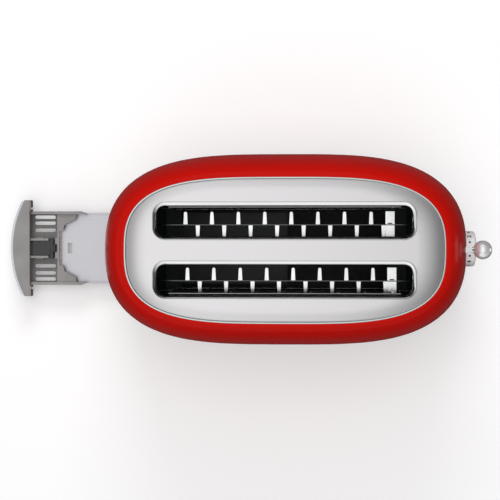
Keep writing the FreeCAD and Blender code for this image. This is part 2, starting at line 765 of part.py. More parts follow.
def add_cam_plate():
    """Rides with the lever. Its slanted slots push the four cages together on the way down."""
    body = new_body("cam_plate")
    sketch = new_sketch(body, "YZ_Plane", "plate_x + 2.5")
    low_z, high_z = "tail_z - 7", "tail_z + stroke + 6"
    rectangle(sketch, ("-53", "53"), (low_z, high_z))
    pad(body, sketch, "1.5")
    cams = new_sketch(body, "YZ_Plane", "plate_x + 2.5")
    for side in ("-1", "1"):
        for place, inward in (("slot_y - cage_near", "+"), ("slot_y + cage_far", "-")):
            open_y = f"{side}*({place})"
            shut_y = f"{side}*({place} {inward} cage_shift)"
            per_mm = f"(({shut_y}) - ({open_y}))/stroke"
            corners = []
            for across, along in ((-1, -1), (1, -1), (1, 1), (-1, 1)):
                base_y = open_y if along < 0 else shut_y
                base_z = "tail_z" if along < 0 else "tail_z + stroke"
                corners.append((f"{base_y} + {across}*1.15 + {along}*1.6*{per_mm}", f"{base_z} + {along}*1.6"))
            polygon(cams, corners)
    pocket(body, cams, "20", midplane=True)
    keep("cam_plate", body)


def add_carriage():
    add_cam_plate()
    body = new_body("carriage_plate")
    sketch = new_sketch(body, "YZ_Plane", "plate_x + 4.4")
    polygon(sketch, [("-36", "tail_z + 10"), ("-9", "tail_z + 10"), ("-9", "tail_z - 2"), ("9", "tail_z - 2"),
                     ("9", "tail_z + 10"), ("36", "tail_z + 10"), ("36", "rack_top_z + 4"),
                     ("-36", "rack_top_z + 4")])
    pad(body, sketch, "1.1")
    boss = new_sketch(body, "YZ_Plane", "plate_x + 4")
    rectangle(boss, ("-9", "9"), ("tail_z", "rack_top_z"))
    pad(body, boss, "0.6")
    keep("carriage_plate", body)
    block = box(("plate_x + 8.2", "rod_x + 5"), ("-rod_y - 5", "rod_y + 5"), ("122", "134"))
    web = box(("plate_x + 5.5", "plate_x + 8.2"), ("-9", "9"), ("122", "134"))
    hollow = box(("plate_x + 9.5", "rod_x + 5.5"), ("-spring_y + 6", "spring_y - 6"), ("125", "136"))
    bores = [cylinder("bore_rad", "rod_x", y, "100", "60") for y in ("-rod_y", "rod_y")]
    keep("slider_block", cut(fuse(block, web), hollow, *bores))
    riser = box(("plate_x + 5.5", "plate_x + 8.1"), ("-8", "8"), ("134", "arm_z + 3"))
    arm = box(("plate_x + 5.5", "ball_x - 5"), ("-arm_wid/2", "arm_wid/2"), ("arm_z - 3", "arm_z + 3"))
    groove = box(("plate_x + 20", "ball_x"), ("-0.6", "0.6"), ("arm_z + 1.2", "arm_z + 4"))
    keep("lever_arm", cut(fuse(riser, arm), groove))
    collar = cylinder("3.1", "ball_x - ball_rad - 0.9", "0", "arm_z", "2.4", ALONG_X)
    passage = box(("ball_x - 20", "ball_x"), ("-arm_wid/2", "arm_wid/2"), ("arm_z - 3", "arm_z + 3"))
    keep("lever_collar", cut(collar, passage))
    ball = doc.addObject("Part::Sphere", "ball")
    bind(ball, "Radius", "ball_rad")
    put(ball, "ball_x", "0", "arm_z")
    keep("lever_ball", cut(ball, box(("ball_x - 20", "ball_x - 5"), ("-arm_wid/2", "arm_wid/2"),
                                     ("arm_z - 3", "arm_z + 3")),
                           cylinder("3.1", "ball_x - 20", "0", "arm_z", "20 - ball_rad + 1.5", ALONG_X)))
    keep("armature", box(("rod_x - 4", "rod_x + 4"), ("-9", "9"), ("118.5", "122")))


def add_guides():
    rods = [
        cylinder("rod_rad", "rod_x", y, "chassis_low_z + steel", "chassis_top_z - chassis_low_z - steel")
        for y in ("-rod_y", "rod_y")
    ]
    keep("guide_rods", group(*rods))
    springs = []
    for y in ("-spring_y", "spring_y"):
        outer = cylinder("3", "rod_x", y, "134", "chassis_top_z - 134")
        inner = cylinder("2.2", "rod_x", y, "130", "80")
        springs.append(cut(outer, inner))
    keep("return_springs", group(*springs))


def add_magnet():
    foot = box(("rod_x - 5", "rod_x + 5"), ("-11", "11"), ("chassis_low_z + steel", "41"))
    poles = [box(("rod_x - 3", "rod_x + 3"), y, ("41", "58")) for y in (("-10", "-6.5"), ("-2.5", "2.5"), ("6.5", "10"))]
    keep("magnet_core", fuse(foot, *poles))
    spool = box(("rod_x - 6", "rod_x + 6"), ("-5.8", "5.8"), ("41", "54"))
    keep("magnet_coil", cut(spool, box(("rod_x - 3", "rod_x + 3"), ("-2.5", "2.5"), ("30", "70"))))


# ---------------------------------------------------------------- controls

def add_dial():
    seat = cylinder("dial_rad + 1.4", "dial_back_x - 6", "0", "dial_z", "5.6", ALONG_X)
    bore = cylinder("3.4", "dial_back_x - 10", "0", "dial_z", "20", ALONG_X)
    keep("dial_bezel", cut(seat, bore))
    knob = new_body("dial_knob")
    sketch = new_sketch(knob, "YZ_Plane", "dial_back_x")
    circle(sketch, "0", "dial_z", "dial_rad")
    pad(knob, sketch, "dial_front_x - dial_back_x - 0.6")
    front_x = size("dial_front_x - 0.6")
    fillet_edges(knob, "2", lambda edge: edge.BoundBox.XMin > front_x - 1e-4)
    bore_sketch = new_sketch(knob, "YZ_Plane", "dial_back_x")
    circle(bore_sketch, "0", "dial_z", "3.05")
    pocket(knob, bore_sketch, "24", midplane=True)
    keep("dial_knob", knob)
    keep("dial_face", cylinder("dial_rad - 4", "dial_front_x - 0.6", "0", "dial_z", "0.6", ALONG_X))
    shaft = cylinder("3", "board_x + 11", "0", "dial_z", "dial_back_x - board_x + 1", ALONG_X)
    flat = box(("dial_back_x - 1", "dial_front_x"), ("-4", "4"), ("dial_z + 2", "dial_z + 5"))
    keep("dial_shaft", cut(shaft, flat))


def add_board():
    plate = box(("board_x", "board_x + 1.6"), ("-45", "45"), ("45", "92"))
    keep("control_board", plate)
    can = cylinder("9", "board_x + 1.6", "0", "dial_z", "7", ALONG_X)
    neck = cylinder("4.5", "board_x + 8.6", "0", "dial_z", "5", ALONG_X)
    bore = cylinder("3.1", "board_x + 8.6", "0", "dial_z", "10", ALONG_X)
    keep("potentiometer", cut(fuse(can, neck), bore))
    switches = []
    for y in ("-button_y", "button_y"):
        for z in ("button_low_z", "button_high_z"):
            case = box(("board_x + 1.6", "board_x + 5.2"), (f"{y} - 3", f"{y} + 3"), (f"{z} - 3", f"{z} + 3"))
            switches.append(fuse(case, cylinder("1.7", "board_x + 5", y, z, "0.8", ALONG_X)))
    keep("button_switches", group(*switches))


def add_buttons():
    places = [(y, z) for y in ("-button_y", "button_y") for z in ("button_low_z", "button_high_z")]
    for number, (y, z) in enumerate(places, start=1):
        body = new_body(f"button_{number}")
        cap = new_sketch(body, "YZ_Plane", "body_half_len - 13")
        circle(cap, y, z, "button_rad")
        pad(body, cap, "11.4")
        front = size("body_half_len - 1.6")
        fillet_edges(body, "0.8", lambda edge: edge.BoundBox.XMin > front - 1e-4)
        stem = new_sketch(body, "YZ_Plane", "board_x + 7.4")
        circle(stem, y, z, "2.2")
        pad(body, stem, "body_half_len - 13 - board_x - 7.4")
        keep(f"button_{number}", body)


# ---------------------------------------------------------------- crumb tray

def keep_tray(label, thing):
    """A piece of the crumb tray, which stands drawn out."""
    keep(label, thing, "body_x - tray_out")


def add_tray():
    arc_x, arc_rad = "-base_half_len + 123", "123.3"
    slab = box(("-base_half_len - 3", "tray_back_x"), ("-tray_half_wid", "tray_half_wid"),
               ("front_low_z", "tray_top_z"))
    bowed = common(slab, cylinder(arc_rad, arc_x, "0", "0", "60"))
    doc.recompute()
    reach = size("tray_half_wid") - 0.01
    corners = []
    for index, edge in enumerate(bowed.Shape.Edges, start=1):
        if upright(edge) and abs(edge.BoundBox.YMax) > reach and edge.BoundBox.XMax < size("tray_back_x - 1"):
            corners.append((index, 6.5, 6.5))
    rounded = doc.addObject("Part::Fillet", "rounded")
    rounded.Base = bowed
    rounded.Edges = corners
    core = cylinder(f"{arc_rad} - 2.4", arc_x, "0", "0", "60")
    tabs = [box(("tray_back_x - 1", "tray_back_x + 1.4"), y, ("17", "tray_top_z - 0.6"))
            for y in (("-tray_half_wid", "-43.5"), ("43.5", "tray_half_wid"))]
    keep_tray("tray_front", fuse(common(rounded, core), *tabs))
    keep_tray("tray_face", cut(rounded, core))
    add_tray_frame()
    add_tray_pan()
    add_tray_latch()


def add_tray_frame():
    rails = []
    for side in ("-1", "1"):
        inner, outer = f"{side}*39.6", f"{side}*43"
        body = new_body("rail")
        sketch = new_sketch(body, "XY_Plane", "pan_rim_z + 0.2")
        corners = [("tray_back_x", inner), ("rail_tip_x", inner), ("rail_tip_x", f"{side}*40.6"),
                   ("rail_tip_x - 6", outer), ("tray_back_x", outer)]
        if side == "-1":
            corners.reverse()
        polygon(sketch, corners)
        pad(body, sketch, "5.5")
        rails.append(body)
        brace = new_body("brace")
        sketch = new_sketch(brace, "XY_Plane", "pan_rim_z + 0.2")
        corners = [("pan_start_x - 0.2", f"{side}*39.5"), ("pan_start_x + 20", f"{side}*39.5"),
                   ("pan_start_x + 19.2", f"{side}*34"), ("pan_start_x + 5.7", f"{side}*27"),
                   ("pan_start_x + 4.6", f"{side}*20.6"), ("pan_start_x - 0.2", f"{side}*20")]
        if side == "-1":
            corners.reverse()
        polygon(sketch, corners)
        pad(brace, sketch, "3")
        rails.append(brace)
        rails.append(box(("tray_back_x", "tray_back_x + 21"),
                         (f"{side}*10.1 - 1.3", f"{side}*10.1 + 1.3"), ("13", "24.5")))
        rails.append(box(("tray_back_x + 6.3", "tray_back_x + 14.9"),
                         (f"{side}*11.8 - 0.55", f"{side}*11.8 + 0.55"), ("13", "23")))
        edge = (inner, outer) if side == "1" else (outer, inner)
        rails.append(box(("tray_back_x", "pan_start_x"), edge, ("13", "pan_rim_z + 0.4")))
    floor = box(("tray_back_x", "pan_start_x - 2"), ("-40", "40"), ("13", "15"))
    wall = box(("pan_start_x - 2.6", "pan_start_x"), ("-40", "40"), ("pan_low_z", "pan_rim_z + 3.2"))
    holder = cut(box(("pan_start_x - 4.8", "pan_start_x"), ("-12.4", "12.4"), ("pan_rim_z + 3", "pan_rim_z + 3.9")),
                 box(("pan_start_x - 6", "pan_start_x - 2.4"), ("-4.7", "4.7"), ("10", "40")))
    rails.append(holder)
    louvres = []
    for y in ("-36.3", "-29.2", "-20.9", "20.9", "29.2", "36.3"):
        slot_tool = round_box("louvre_len", "louvre_wid", "louvre_wid/2 - 0.05", y, "0", "16")
        bind(slot_tool, "Placement.Base.x", "tray_back_x + 3.2 + louvre_len/2")
        louvres.append(slot_tool)
    keep_tray("tray_frame", cut(fuse(floor, wall, *rails), *louvres))


def add_tray_pan():
    across = ("-pan_half_wid", "pan_half_wid")
    tub = box(("pan_start_x + 0.01", "pan_end_x"), across, ("pan_low_z", "pan_rim_z"))
    hollow = box(("pan_start_x + 0.8", "pan_end_x - 0.8"), ("-pan_half_wid + 0.8", "pan_half_wid - 0.8"),
                 ("pan_low_z + 0.8", "60"))
    hole = box(("pan_start_x + 8.4", "pan_start_x + 13.7"), ("-6.1", "6.1"), ("0", "60"))
    keep_tray("tray_pan", cut(tub, hollow, hole))


def add_tray_latch():
    low_z, high_z = "16", "25"
    neck = box(("tray_back_x + 0.3", "tray_back_x + 4"), ("-7.2", "7.2"), (low_z, "22"))
    body = box(("tray_back_x + 3.4", "tray_back_x + 22.9"), ("-8.2", "8.2"), (low_z, high_z))
    bar = box(("tray_back_x + 22.6", "tray_back_x + 26.4"), ("-12", "12"), ("19", "24"))
    tip = box(("tray_back_x + 26", "tray_back_x + 28.6"), ("-4.1", "4.1"), ("17.5", "22.5"))
    keep_tray("tray_latch", fuse(neck, body, bar, tip))
    springs = []
    for y in ("-7.4", "7.4"):
        length = "pan_start_x - 2.6 - tray_back_x - 26.4"
        coil = cylinder("1.6", "tray_back_x + 26.4", y, "18", length, ALONG_X)
        bore = cylinder("1.1", "tray_back_x + 20", y, "18", "30", ALONG_X)
        springs.append(cut(coil, bore))
    keep_tray("latch_springs", group(*springs))
    screws = []
    for y in ("-46.5", "46.5"):
        head = cylinder("1.9", "tray_back_x + 1.4", y, "25", "1.6", ALONG_X)
        screws.append(head)
    keep_tray("tray_screws", group(*screws))


# ---------------------------------------------------------------- export

def check_all():
    doc.recompute()
    for thing in doc.Objects:
        if "Invalid" in thing.State or "Error" in thing.State:
            raise RuntimeError(f"{thing.Label} has state {thing.State}")


def export_all():
    os.makedirs("parts", exist_ok=True)
    for thing in sub_parts:
        shape = thing.Shape
        if shape.isNull() or not shape.isValid():
            raise RuntimeError(f"{thing.Label} has no valid shape")
        shape.exportStep(f"parts/{thing.Label}.step")


def main():
    fill_sheet()
    add_shell()
    add_trim_ring()
    add_top_plate()
    add_collar("slot_collar_rear", "slot_y")
    add_collar("slot_collar_front", "-slot_y")
    add_base()
    add_skirt()
    add_feet()
    add_cord_gland()
    add_case_screws()
    add_chassis_floor()
    add_end_plate("lever_end_plate", "plate_x")
    add_end_plate("far_end_plate", "-plate_x - steel")
    add_chassis_top()
    add_side_walls()
    add_heater_cards()
    add_heater_ribbons()
    add_cages()
    add_rack("rack_rear", "1", "0")
    add_rack("rack_front", "-1", "2")
    add_carriage()
    add_guides()
    add_magnet()
    add_dial()
    add_board()
    add_buttons()
    add_tray()
    check_all()
    export_all()


main()
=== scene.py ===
"""The look of the long-slot toaster, over its CAD frame. Metres, +Z up, +X to the lever end."""

import json
import math

import bpy
from mathutils import Matrix, Vector


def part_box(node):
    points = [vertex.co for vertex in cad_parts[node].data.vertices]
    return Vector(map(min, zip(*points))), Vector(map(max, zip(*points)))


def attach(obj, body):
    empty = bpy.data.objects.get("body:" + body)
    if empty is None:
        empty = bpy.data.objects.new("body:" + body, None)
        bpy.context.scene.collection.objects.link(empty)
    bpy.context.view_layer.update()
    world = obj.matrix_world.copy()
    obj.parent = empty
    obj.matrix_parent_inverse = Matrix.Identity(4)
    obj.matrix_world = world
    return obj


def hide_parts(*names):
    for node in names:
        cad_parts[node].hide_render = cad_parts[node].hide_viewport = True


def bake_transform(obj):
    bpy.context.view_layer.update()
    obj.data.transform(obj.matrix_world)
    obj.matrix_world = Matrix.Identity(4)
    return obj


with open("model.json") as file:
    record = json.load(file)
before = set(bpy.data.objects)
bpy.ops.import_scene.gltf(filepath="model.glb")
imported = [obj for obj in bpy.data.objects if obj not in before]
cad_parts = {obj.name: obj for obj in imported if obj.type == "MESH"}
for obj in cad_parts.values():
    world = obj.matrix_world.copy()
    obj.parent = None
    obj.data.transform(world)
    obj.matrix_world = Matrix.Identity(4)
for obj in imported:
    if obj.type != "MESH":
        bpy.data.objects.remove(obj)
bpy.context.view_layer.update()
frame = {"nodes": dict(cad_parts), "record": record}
nodes = frame["nodes"]
scene = bpy.context.scene

MM = 0.001
BODY_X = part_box("trim_ring")[0][0] / 2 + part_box("trim_ring")[1][0] / 2  # middle of the body


# ---------------------------------------------------------------- materials

def new_material(name, colour, rough, metallic=0.0):
    """A Principled material with plain values. Returns the material, its tree and the shader."""
    material = bpy.data.materials.new(name)
    material.use_nodes = True
    tree = material.node_tree
    shader = tree.nodes["Principled BSDF"]
    shader.inputs["Base Color"].default_value = (*colour, 1.0)
    shader.inputs["Roughness"].default_value = rough
    shader.inputs["Metallic"].default_value = metallic
    material.diffuse_color = (*colour, 1.0)
    return material, tree, shader


def noise(tree, scale, stretch=(1, 1, 1), detail=4.0):
    """Noise in the frame's own coordinates, drawn out along an axis by stretch."""
    coordinates = tree.nodes.new("ShaderNodeTexCoord")
    mapping = tree.nodes.new("ShaderNodeMapping")
    mapping.inputs["Scale"].default_value = stretch
    texture = tree.nodes.new("ShaderNodeTexNoise")
    texture.inputs["Scale"].default_value = scale
    texture.inputs["Detail"].default_value = detail
    tree.links.new(coordinates.outputs["Object"], mapping.inputs["Vector"])
    tree.links.new(mapping.outputs["Vector"], texture.inputs["Vector"])
    return texture.outputs["Fac"]


def place_on(tree, axis):
    """Where a point lies on an axis of the frame, in metres."""
    coordinates = tree.nodes.new("ShaderNodeTexCoord")
    split = tree.nodes.new("ShaderNodeSeparateXYZ")
    tree.links.new(coordinates.outputs["Object"], split.inputs["Vector"])
    return split.outputs[axis]


def vary_roughness(tree, shader, source, low, high):
    span = tree.nodes.new("ShaderNodeMapRange")
    span.inputs["From Min"].default_value = 0.3
    span.inputs["From Max"].default_value = 0.7
    span.inputs["To Min"].default_value = low
    span.inputs["To Max"].default_value = high
    tree.links.new(source, span.inputs["Value"])
    tree.links.new(span.outputs["Result"], shader.inputs["Roughness"])


def vary_colour(tree, shader, source, dark, light):
    ramp = tree.nodes.new("ShaderNodeValToRGB")
    ramp.color_ramp.elements[0].position = 0.3
    ramp.color_ramp.elements[1].position = 0.7
    ramp.color_ramp.elements[0].color = (*dark, 1.0)
    ramp.color_ramp.elements[1].color = (*light, 1.0)
    tree.links.new(source, ramp.inputs["Fac"])
    tree.links.new(ramp.outputs["Color"], shader.inputs["Base Color"])


def add_bump(tree, shader, source, strength, distance):
    bump = tree.nodes.new("ShaderNodeBump")
    bump.inputs["Strength"].default_value = strength
    bump.inputs["Distance"].default_value = distance
    tree.links.new(source, bump.inputs["Height"])
    tree.links.new(bump.outputs["Normal"], shader.inputs["Normal"])


def darken_along(tree, shader, axis, unshaded_until, shaded_from, factor):
    """Painted shade: multiply the colour by factor past the second place on an axis, and leave it
    alone before the first.
    """
    colour = shader.inputs["Base Color"].links[0].from_socket
    span = tree.nodes.new("ShaderNodeMapRange")
    span.inputs["From Min"].default_value = unshaded_until
    span.inputs["From Max"].default_value = shaded_from
    span.inputs["To Min"].default_value = 1.0
    span.inputs["To Max"].default_value = factor
    tree.links.new(place_on(tree, axis), span.inputs["Value"])
    scale = tree.nodes.new("ShaderNodeVectorMath")
    scale.operation = "SCALE"
    tree.links.new(colour, scale.inputs[0])
    tree.links.new(span.outputs["Result"], scale.inputs["Scale"])
    tree.links.new(scale.outputs["Vector"], shader.inputs["Base Color"])


# Painted shade on the pan: it is pale to here from its drawn-out end, then darkened past the second
# distance, where it lies in the shade inside the body.
PAN_UNSHADED = 90 * MM
PAN_SHADED = 116 * MM
PAN_SHADE_FACTOR = 0.14

BLADE_BAND_HALF = 0.6 * MM  # how far each side of a blade's middle its near-black band reaches
BLADE_MIDDLE_COLOUR = (0.11, 0.12, 0.12)

# Heights in the tray above which its colour is left alone, and below which painted shade darkens
# its sunken floor.
TRAY_UNSHADED = 17 * MM
TRAY_SHADED = 15.2 * MM
RECESS_SHADE = 0.58


def toasted_pan(name, colour):
    """The pan: pale at its drawn-out end, with painted shade darkening it where it lies under the
    heaters inside the body.
    """
    material = brushed(name, colour, 0.42, 0.5, (14, 900, 900), 0.02)
    tree = material.node_tree
    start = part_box("tray_pan")[0][0]
    shader = tree.nodes["Principled BSDF"]
    # Painted shade: the pan darkens where it lies inside the body.
    darken_along(tree, shader, "X", start + PAN_UNSHADED, start + PAN_SHADED, PAN_SHADE_FACTOR)
    return material


def rack_metal(node):
    """Bright teeth on a blade coloured near black along its middle."""
    material = sheet_metal(node + "_steel", (0.99, 0.99, 0.99), 0.14, 0.2)
    tree = material.node_tree
    low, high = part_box(node)
    shader = tree.nodes["Principled BSDF"]
    colour = shader.inputs["Base Color"].links[0].from_socket
    near = tree.nodes.new("ShaderNodeMath")
    near.operation = "COMPARE"
    near.inputs[1].default_value = (low[1] + high[1]) / 2
    near.inputs[2].default_value = BLADE_BAND_HALF
    tree.links.new(place_on(tree, "Y"), near.inputs[0])
    mix = tree.nodes.new("ShaderNodeMixRGB")
    mix.inputs["Color2"].default_value = (*BLADE_MIDDLE_COLOUR, 1)
    tree.links.new(near.outputs["Value"], mix.inputs["Fac"])
    tree.links.new(colour, mix.inputs["Color1"])
    tree.links.new(mix.outputs["Color"], shader.inputs["Base Color"])
    return material


def tray_grey(name, colour):
    """The tray's plastic, with painted shade darkening its sunken floor."""
    material = moulded(name, colour)
    tree = material.node_tree
    # Painted shade: the sunken floor is darker below a height.
    darken_along(tree, tree.nodes["Principled BSDF"], "Z", TRAY_UNSHADED, TRAY_SHADED, RECESS_SHADE)
    return material


def shade(colour, factor):
    return tuple(min(1.0, channel * factor) for channel in colour)


def paint(name, colour):
    """Gloss enamel on steel: a faint orange peel and a slow change of tone."""
    material, tree, shader = new_material(name, colour, 0.2)
    shader.inputs["Specular IOR Level"].default_value = 0.05
    vary_colour(tree, shader, noise(tree, 9.0), shade(colour, 0.97), shade(colour, 1.03))
    vary_roughness(tree, shader, noise(tree, 60.0), 0.2, 0.26)
    add_bump(tree, shader, noise(tree, 420.0, detail=1.0), 0.008, 0.0002)
    return material


def polished(name, colour, low=0.04, high=0.10):
    """Chrome or polished steel with faint wipe marks."""
    material, tree, shader = new_material(name, colour, low, 1.0)
    vary_colour(tree, shader, noise(tree, 30.0), shade(colour, 0.95), colour)
    vary_roughness(tree, shader, noise(tree, 90.0, (1, 3, 1)), low, high)
    return material


def brushed(name, colour, low, high, stretch, grain=0.06, dark=0.93, light=1.03):
    """Steel brushed along the axis that stretch leaves long."""
    material, tree, shader = new_material(name, colour, low, 1.0)
    fine = noise(tree, 1.0, stretch, 3.0)
    vary_colour(tree, shader, fine, shade(colour, dark), shade(colour, light))
    vary_roughness(tree, shader, fine, low, high)
    add_bump(tree, shader, fine, grain, 0.0002)
    return material


def sheet_metal(name, colour, low, high):
    """Rolled or zinc-plated sheet: cloudy, with fine marks."""
    material, tree, shader = new_material(name, colour, low, 1.0)
    cloud = noise(tree, 55.0, detail=6.0)
    vary_colour(tree, shader, cloud, shade(colour, 0.82), shade(colour, 1.06))
    vary_roughness(tree, shader, noise(tree, 240.0), low, high)
    add_bump(tree, shader, noise(tree, 500.0), 0.05, 0.0002)
    return material


def lacquer(name, colour, metallic):
    """Silver lacquer: part metal, with a faint fine mottle."""
    material, tree, shader = new_material(name, colour, 0.3, metallic)
    vary_colour(tree, shader, noise(tree, 700.0, detail=1.0), shade(colour, 0.97), colour)
    vary_roughness(tree, shader, noise(tree, 200.0), 0.26, 0.34)
    return material


def moulded(name, colour, low=0.42, high=0.6, grain=0.12):
    """Moulded plastic or rubber with a fine spark-eroded grain."""
    material, tree, shader = new_material(name, colour, low)
    vary_colour(tree, shader, noise(tree, 40.0), shade(colour, 0.88), shade(colour, 1.1))
    vary_roughness(tree, shader, noise(tree, 300.0), low, high)
    add_bump(tree, shader, noise(tree, 1800.0, detail=2.0), grain, 0.0002)
    return material


LONG_X = (14, 1400, 1400)  # noise stretched along X, as brushing leaves it

MATERIALS = {
    "red_paint": paint("red_paint", (0.55, 0.007, 0.004)),
    "bright_chrome": polished("bright_chrome", (0.90, 0.91, 0.91)),
    "satin_steel": brushed("satin_steel", (0.80, 0.785, 0.79), 0.28, 0.30, LONG_X, grain=0.003,
                           dark=0.985, light=1.01),
    "polished_steel": polished("polished_steel", (0.86, 0.86, 0.86), 0.07, 0.11),
    "zinc_steel": sheet_metal("zinc_steel", (0.50, 0.51, 0.53), 0.32, 0.5),
    "rack_rear_steel": rack_metal("rack_rear"),
    "rack_front_steel": rack_metal("rack_front"),
    "wire_steel": polished("wire_steel", (0.42, 0.42, 0.43), 0.2, 0.32),
    "bright_aluminium": sheet_metal("bright_aluminium", (0.62, 0.62, 0.63), 0.3, 0.45),
    "pan_aluminium": toasted_pan("pan_aluminium", (0.80, 0.805, 0.84)),
    "black_plastic": moulded("black_plastic", (0.02, 0.02, 0.021)),
    "dark_teal_plastic": moulded("dark_teal_plastic", (0.012, 0.03, 0.034)),
    "grey_plastic": tray_grey("grey_plastic", (0.29, 0.285, 0.28)),
    "latch_plastic": moulded("latch_plastic", (0.045, 0.045, 0.048)),
    "black_rubber": moulded("black_rubber", (0.015, 0.015, 0.015), 0.6, 0.8, 0.2),
    "mica": moulded("mica", (0.085, 0.102, 0.098), 0.5, 0.7, 0.2),
    "ribbon_wire": brushed("ribbon_wire", (0.05, 0.055, 0.055), 0.45, 0.6, LONG_X),
    "dark_iron": sheet_metal("dark_iron", (0.12, 0.12, 0.13), 0.4, 0.6),
    "copper_coil": brushed("copper_coil", (0.62, 0.27, 0.12), 0.3, 0.4, (900, 900, 2600), 0.3),
    "board_green": moulded("board_green", (0.02, 0.14, 0.05), 0.25, 0.4),
    "ring_chrome": polished("ring_chrome", (0.60, 0.66, 0.64), 0.12, 0.18),
    "skirt_steel": lacquer("skirt_steel", (0.74, 0.74, 0.75), 0.2),
    "satin_chrome": lacquer("satin_chrome", (0.98, 0.98, 0.98), 0.6),
    "dull_chrome": polished("dull_chrome", (0.58, 0.59, 0.62), 0.14, 0.2),
    "dial_lacquer": lacquer("dial_lacquer", (0.97, 0.97, 0.975), 0.15),
    # A near-black plain colour for the plates inside the body: painted shade.
    "inside_shade_steel": moulded("inside_shade_steel", (0.075, 0.09, 0.087), 0.5, 0.7, 0.05),
    "dial_ink": moulded("dial_ink", (0.01, 0.01, 0.01), 0.4, 0.5, 0.02),
}

# Plates round the heaters and the racks, coloured near black: painted shade for the dark inside of
# the body.
SHADED_INSIDE_PLATES = ("lever_end_plate", "far_end_plate", "chassis_top", "chassis_floor", "side_wall_rear",
            "side_wall_front", "cam_plate", "carriage_plate")

# Nodes whose finish differs from the rest of their material slot.
FINISHES = {
    "lever_ball": "satin_chrome",
    "dial_knob": "dial_lacquer",
    "tray_face": "dull_chrome",
    "trim_ring": "ring_chrome",
    "chrome_skirt": "skirt_steel",
    "rack_rear": "rack_rear_steel",
    "rack_front": "rack_front_steel",
}


def dress_nodes():
    """Every carried-over CAD node takes the material of its slot, or its own finish."""
    for entry in frame["record"]["subparts"]:
        node = entry["node"]
        slot = entry["material_slot"]
        # Plates inside the body take the near-black colour that paints their shade.
        if node in SHADED_INSIDE_PLATES:
            slot = "inside_shade_steel"
        slot = FINISHES.get(node, slot)
        mesh = nodes[node].data
        mesh.materials.clear()
        mesh.materials.append(MATERIALS[slot])


# ---------------------------------------------------------------- mesh helpers

def add_mesh(name, points, faces, material):
    """A smooth mesh piece in the scene."""
    mesh = bpy.data.meshes.new(name)
    mesh.from_pydata([tuple(point) for point in points], [], faces)
    mesh.materials.append(MATERIALS[material])
    mesh.shade_smooth()
    piece = bpy.data.objects.new(name, mesh)
    scene.collection.objects.link(piece)
    return piece


WIRE_SIDES = 12
STEPS_PER_TURN = 28


def helix(centre, axis, length, radius, wire, turns):
    """A coil of wire of that radius, round an axis (0 for X, 2 for Z), that starts at centre."""
    points, faces = [], []
    steps = turns * STEPS_PER_TURN
    for step in range(steps + 1):
        angle = 2 * math.pi * step / STEPS_PER_TURN
        along = wire + (length - 2 * wire) * step / steps
        for spin in range(WIRE_SIDES):
            turn = 2 * math.pi * spin / WIRE_SIDES
            reach = radius + wire * math.cos(turn)
            local = (reach * math.cos(angle), reach * math.sin(angle),
                     along + wire * math.sin(turn))
            if axis == 0:
                local = (local[2], local[0], local[1])
            points.append(Vector(centre) + Vector(local))
    for step in range(steps):
        for spin in range(WIRE_SIDES):
            a = step * WIRE_SIDES + spin
            b = step * WIRE_SIDES + (spin + 1) % WIRE_SIDES
            faces.append((a, b, b + WIRE_SIDES, a + WIRE_SIDES))
    faces.append(tuple(reversed(range(WIRE_SIDES))))
    faces.append(tuple(range(steps * WIRE_SIDES, (steps + 1) * WIRE_SIDES)))
    return add_mesh("spring", points, faces, "wire_steel")


def add_springs():
    """Real coils in place of the CAD's plain tubes."""
    low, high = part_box("return_springs")
    radius = (high[0] - low[0]) / 2
    x = (low[0] + high[0]) / 2
    pair = []
    for y in (low[1] + radius, high[1] - radius):
        pair.append(helix((x, y, low[2]), 2, high[2] - low[2], radius - 0.6 * MM,
                          wire=0.42 * MM, turns=30))
    coils = join(pair, "return_coils")
    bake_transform(coils)
    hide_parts("return_springs")
    low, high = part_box("latch_springs")
    radius = (high[2] - low[2]) / 2
    z = (low[2] + high[2]) / 2
    pair = []
    for y in (low[1] + radius, high[1] - radius):
        pair.append(helix((low[0], y, z), 0, high[0] - low[0], radius - 0.35 * MM,
                          wire=0.3 * MM, turns=5))
    coils = join(pair, "latch_coils")
    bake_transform(coils)
    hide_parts("latch_springs")


def join(pieces, name):
    """Several meshes as one piece."""
    bpy.ops.object.select_all(action="DESELECT")
    for piece in pieces:
        piece.select_set(True)
    bpy.context.view_layer.objects.active = pieces[0]
    bpy.ops.object.join()
    pieces[0].name = name
    return pieces[0]


# ---------------------------------------------------------------- slot collars

# Across the collar: how far in from its outline, and how far below its top, in mm.
COLLAR_PROFILE = ((0.0, 6.5), (0.0, 0.2), (0.15, 0.05), (0.4, 0.0), (0.6, 0.12), (3.35, 2.45),
                  (3.6, 2.8), (3.6, 6.5))
COLLAR_CORNER = 12.5 * MM
STEEP_FROM = 1.0  # profile points that fall more than this, in mm, fall further on the -Y side
STEEPER = 0.8  # by up to this share, which hides that side's lip from above
SIDE_MARGIN = 4 * MM  # past this distance from the outline the -Y side has its full steepness
SHARP_EDGE = math.radians(28)
CORNER_STEPS = 16


def outline(low, high, inset):
    """Points of a rectangle with round corners, drawn in by inset."""
    radius = COLLAR_CORNER - inset
    middle = ((low[0] + high[0]) / 2, (low[1] + high[1]) / 2)
    reach = (middle[0] - low[0] - COLLAR_CORNER, middle[1] - low[1] - COLLAR_CORNER)
    points = []
    for quarter, (east, north) in enumerate(((1, 1), (-1, 1), (-1, -1), (1, -1))):
        for step in range(CORNER_STEPS + 1):
            angle = math.pi / 2 * (quarter + step / CORNER_STEPS)
            points.append((middle[0] + east * reach[0] + radius * math.cos(angle),
                           middle[1] + north * reach[1] + radius * math.sin(angle)))
    return points


